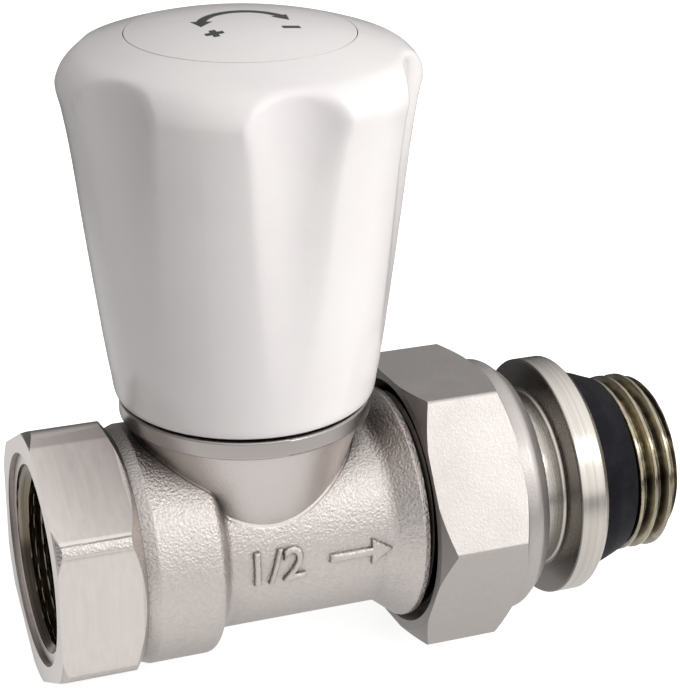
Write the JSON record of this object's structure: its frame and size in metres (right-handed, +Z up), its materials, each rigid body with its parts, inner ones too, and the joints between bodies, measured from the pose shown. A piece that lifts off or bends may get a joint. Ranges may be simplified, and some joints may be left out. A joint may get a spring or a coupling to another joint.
{
  "type": "manual radiator valve",
  "caption": "Straight manual radiator valve: nickel-plated body with hexagon inlet, fluted white hand knob, union nut and threaded tailpiece with a black seal ring.",
  "frame": {"origin": "centre of the inlet thread, at the foot of its mouth recess", "axes": "+X along the pipe towards the radiator, +Z up along the stem, so the picture is taken from the -Y side"},
  "size_m": [0.0744, 0.0364, 0.0738],
  "materials": {
    "forged_nickel": "nickel plated, fine forged grain",
    "nut_nickel": "nickel plated, satin",
    "turned_nickel": "nickel plated, fine turning marks",
    "plain_brass": "bare, machined",
    "black_rubber": "smooth",
    "white_knob": "glossy moulding",
    "white_cap": "glossy moulding",
    "white_slip": "smooth, waxy",
    "fibre": "pressed fibre",
    "steel": "zinc plated"
  },
  "bodies": {
    "valve_body": {"valve_body": "forged_nickel", "bonnet": "plain_brass", "bonnet_gasket": "fibre", "stem_o_ring": "black_rubber", "packing_ring": "white_slip", "gland_nut": "plain_brass"},
    "handwheel": {"knob": "white_knob", "knob_cap": "white_cap", "knob_screw": "steel", "knob_lock_washer": "steel", "stem": "plain_brass", "thrust_washer": "white_slip", "stem_clip": "steel"},
    "plug": {"valve_plug": "plain_brass", "seat_washer": "black_rubber", "seat_washer_plate": "steel", "seat_washer_screw": "steel"},
    "tailpiece": {"tailpiece": "turned_nickel", "tail_seal": "black_rubber", "tail_o_ring": "black_rubber", "nut_retaining_ring": "plain_brass"},
    "union_nut": {"union_nut": "nut_nickel"}
  },
  "joints": [
    {"name": "knob_turn", "type": "hinge", "parent": "valve_body", "child": "handwheel", "pos_m": [0.024, 0, 0], "axis": [0, 0, 1], "range_deg": [0, 985]},
    {"name": "plug_lift", "type": "slide", "parent": "valve_body", "child": "plug", "axis": [0, 0, 1], "range_m": [0, 0.0041]},
    {"name": "tail_draw", "type": "slide", "parent": "valve_body", "child": "tailpiece", "axis": [1, 0, 0], "range_m": [0, 0.00725]},
    {"name": "nut_turn", "type": "hinge", "parent": "tailpiece", "child": "union_nut", "pos_m": [0.048, 0, 0], "axis": [1, 0, 0], "range_deg": [0, 1440]}
  ],
  "couplings": [
    {"joint": "knob_turn", "follows": "plug_lift", "rad_per_m": 4188.8},
    {"joint": "nut_turn", "follows": "tail_draw", "rad_per_m": 3463.7}
  ]
}
